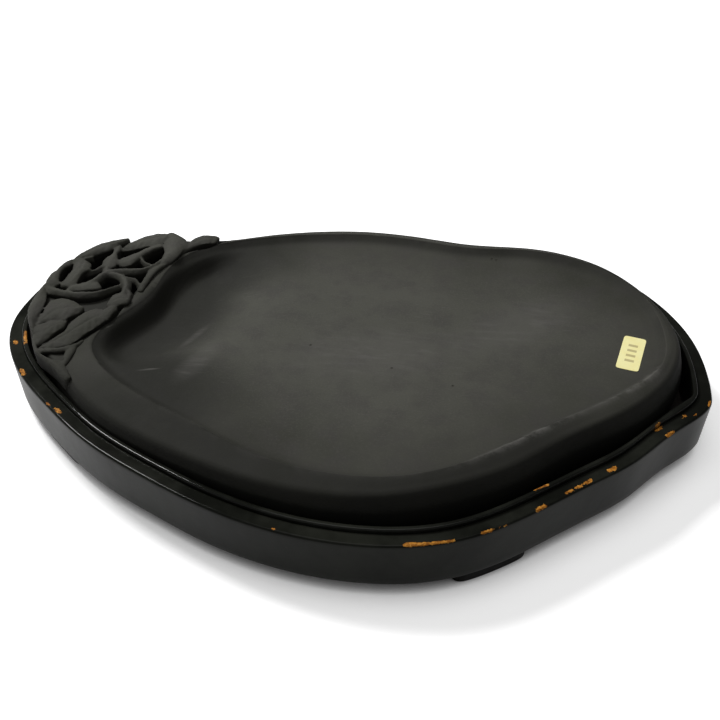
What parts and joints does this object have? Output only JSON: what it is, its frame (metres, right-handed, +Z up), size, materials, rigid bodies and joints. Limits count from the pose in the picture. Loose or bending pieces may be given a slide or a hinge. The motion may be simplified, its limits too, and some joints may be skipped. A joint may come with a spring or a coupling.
{
  "type": "ink stone",
  "caption": "Natural-outline ink stone with a shallow dish, ink pool and carved foliage, lying loose in a fitted black lacquered tray with low feet.",
  "frame": {"origin": "on the surface that the feet stand on, under the middle of the tray's plan", "axes": "+X along the tray towards its pointed right end, +Y towards the back, +Z up out of the dish"},
  "size_m": [0.2524, 0.1743, 0.0341],
  "materials": {
    "slate": "matte",
    "label_paper": "matte",
    "wall_lacquer": "satin",
    "lip_lacquer": "gloss",
    "board_lacquer": "satin",
    "foot_lacquer": "satin",
    "peg_bamboo": "matte"
  },
  "bodies": {
    "tray": {"wall_ring": "wall_lacquer", "lip_liner": "lip_lacquer", "floor_board": "board_lacquer", "foot_front_right": "foot_lacquer", "foot_front_left": "foot_lacquer", "foot_back_left": "foot_lacquer", "foot_back_right": "foot_lacquer", "foot_pegs": "peg_bamboo"},
    "stone": {"ink_stone": "slate", "paper_label": "label_paper"}
  },
  "joints": [
    {"name": "stone_lift", "type": "slide", "parent": "tray", "child": "stone", "axis": [0, 0, 1], "range_m": [0, 0.02]}
  ]
}
